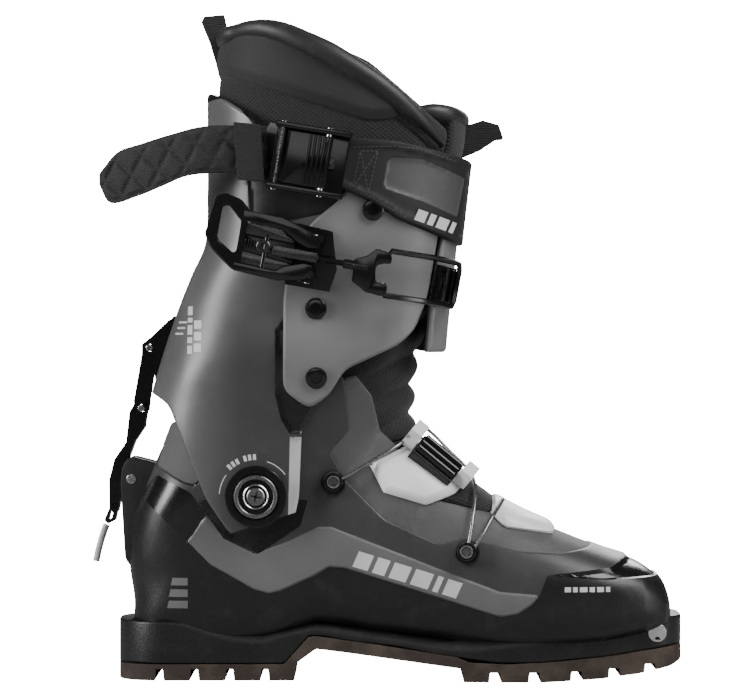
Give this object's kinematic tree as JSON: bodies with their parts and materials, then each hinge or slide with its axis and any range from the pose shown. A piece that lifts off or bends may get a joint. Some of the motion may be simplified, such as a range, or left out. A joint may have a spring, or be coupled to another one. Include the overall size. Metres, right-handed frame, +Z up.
{
  "type": "ski touring boot",
  "caption": "Hard shell ski touring boot with a leaning cuff, rear walk latch, lever buckle, power strap, cabled instep plates, inner liner and lugged sole.",
  "frame": {"origin": "on the ground, on the boot's centre line, straight below the cuff pivot, on the bottom face of the heel's tread", "axes": "+X to the toe, +Y to the inner side of a right boot, +Z up"},
  "size_m": [0.312, 0.1341, 0.351],
  "materials": {
    "shell_black": "satin moulded nylon, black to dark grey",
    "outsole_rubber": "dark brown lugged rubber",
    "gaiter_grey": "matt soft plastic, mid grey",
    "cuff_grey": "satin moulded plastic, silver grey",
    "flap_grey": "satin moulded plastic, light grey",
    "plate_white": "satin white plastic",
    "liner_fabric": "black textile over heat-moulded foam",
    "board_foam": "dense grey foam",
    "webbing_black": "black woven webbing",
    "cord_grey": "clear grey sleeve over cord",
    "black_metal": "black anodised aluminium",
    "grey_metal": "dark grey and bright turned aluminium",
    "steel": "polished stainless steel"
  },
  "bodies": {
    "shell": {"outsole": "outsole_rubber", "lower_shell": "shell_black", "latch_pin": "steel", "toe_insert_outer": "steel", "toe_insert_inner": "steel", "heel_insert": "steel", "gaiter": "gaiter_grey", "boot_board": "board_foam", "liner_foot": "liner_fabric", "forefoot_tongue": "liner_fabric", "liner_flex": "liner_fabric", "pivot_bolt_outer": "grey_metal", "pivot_bolt_inner": "grey_metal", "instep_plate": "plate_white", "toe_plate": "plate_white", "instep_rack": "black_metal", "instep_cable": "steel", "cable_guide_rear": "plate_white", "cable_guide_front": "plate_white", "cable_anchor_rear": "black_metal", "cable_anchor_front": "black_metal", "toe_cable": "steel"},
    "cuff": {"liner_leg": "liner_fabric", "rear_cuff": "cuff_grey", "front_cuff_outer": "flap_grey", "front_cuff_inner": "flap_grey", "cuff_bolt_outer_1": "black_metal", "cuff_bolt_outer_2": "black_metal", "cuff_bolt_outer_3": "black_metal", "cuff_bolt_inner_1": "black_metal", "cuff_bolt_inner_2": "black_metal", "cuff_bolt_inner_3": "black_metal", "latch_bracket": "black_metal", "latch_pin_top": "steel", "buckle_base": "black_metal", "buckle_pin_lower": "steel", "buckle_pin_upper": "steel", "buckle_rack": "black_metal", "power_strap": "webbing_black", "strap_buckle": "black_metal", "strap_tail": "webbing_black", "strap_keeper": "webbing_black", "liner_tongue": "liner_fabric", "tongue_loop": "webbing_black", "rear_loop": "webbing_black"},
    "link": {"walk_link": "black_metal", "latch_pin_middle": "steel"},
    "latch_lever": {"walk_lever": "black_metal"},
    "ring": {"pull_ring": "black_metal", "pull_cord": "cord_grey"},
    "lever": {"buckle_lever": "black_metal", "rod_pin": "steel"},
    "rod": {"buckle_rod": "black_metal"},
    "bail": {"buckle_bail": "black_metal"},
    "cam": {"strap_cam": "black_metal"}
  },
  "joints": [
    {"name": "cuff_pivot", "type": "hinge", "parent": "shell", "child": "cuff", "pos_m": [0, 0, 0.097], "axis": [0, 1, 0], "range_deg": [-16, 20], "deforming": ["liner_flex"]},
    {"name": "link_swing", "type": "hinge", "parent": "cuff", "child": "link", "pos_m": [-0.0581, 0, 0.1741], "axis": [0, 1, 0], "range_deg": [0, 120]},
    {"name": "lever_swing", "type": "hinge", "parent": "link", "child": "latch_lever", "pos_m": [-0.0624, 0, 0.1421], "axis": [0, 1, 0], "range_deg": [0, 60]},
    {"name": "ring_swing", "type": "hinge", "parent": "latch_lever", "child": "ring", "pos_m": [-0.0762, 0, 0.0905], "axis": [0, 1, 0], "range_deg": [-5, 60]},
    {"name": "buckle_open", "type": "hinge", "parent": "cuff", "child": "lever", "pos_m": [0.0288, -0.06404, 0.2197], "axis": [0.1822, 0, 0.9833], "range_deg": [0, 120]},
    {"name": "rod_turn", "type": "hinge", "parent": "lever", "child": "rod", "pos_m": [0.0052, -0.06524, 0.22407], "axis": [0.1822, 0, 0.9833], "range_deg": [-120, 0]},
    {"name": "bail_flip", "type": "hinge", "parent": "rod", "child": "bail", "pos_m": [0.06715, -0.06524, 0.21259], "axis": [0.1822, 0, 0.9833], "range_deg": [-45, 0]},
    {"name": "cam_open", "type": "hinge", "parent": "cuff", "child": "cam", "pos_m": [0.03589, -0.06773, 0.26919], "axis": [0.1642, 0, 0.9864], "range_deg": [0, 75]}
  ],
  "couplings": [
    {"joint": "rod_turn", "follows": "buckle_open", "ratio": -1}
  ]
}
